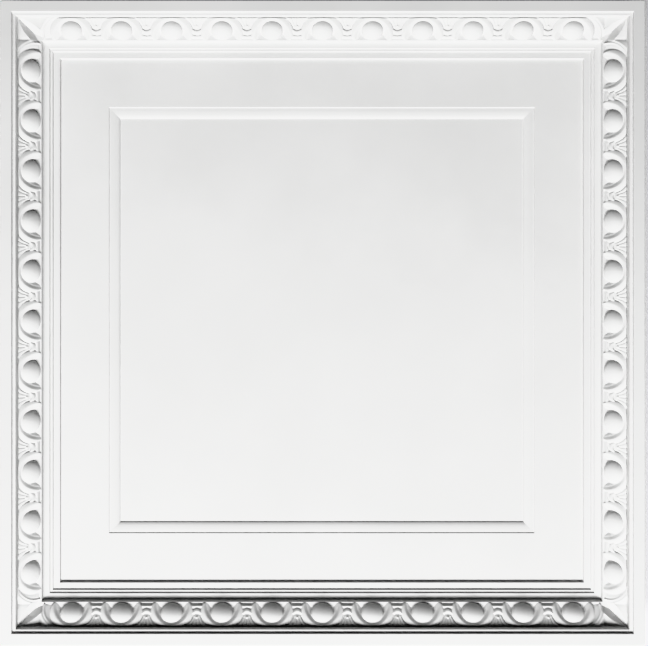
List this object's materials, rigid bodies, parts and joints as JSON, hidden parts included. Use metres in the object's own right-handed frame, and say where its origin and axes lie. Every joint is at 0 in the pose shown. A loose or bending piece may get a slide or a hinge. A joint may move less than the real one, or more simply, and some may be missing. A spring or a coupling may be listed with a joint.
{
  "type": "polyurethane ceiling tile",
  "caption": "Square coffered ceiling tile moulded in rigid foam, with a lay-in flange, an egg-and-dart border, stepped mouldings and a sunk middle panel.",
  "frame": {"origin": "middle of the tile's flat back, at the height of the back plane", "axes": "+Z out of the decorated face, X and Y along the tile's sides; the picture's right is +X and its top is +Y"},
  "size_m": [0.606, 0.606, 0.038],
  "materials": {
    "moulded_foam": "white primed rigid polyurethane foam with a matt moulded skin"
  },
  "bodies": {
    "root": {"ceiling_tile": "moulded_foam"}
  },
  "joints": []
}
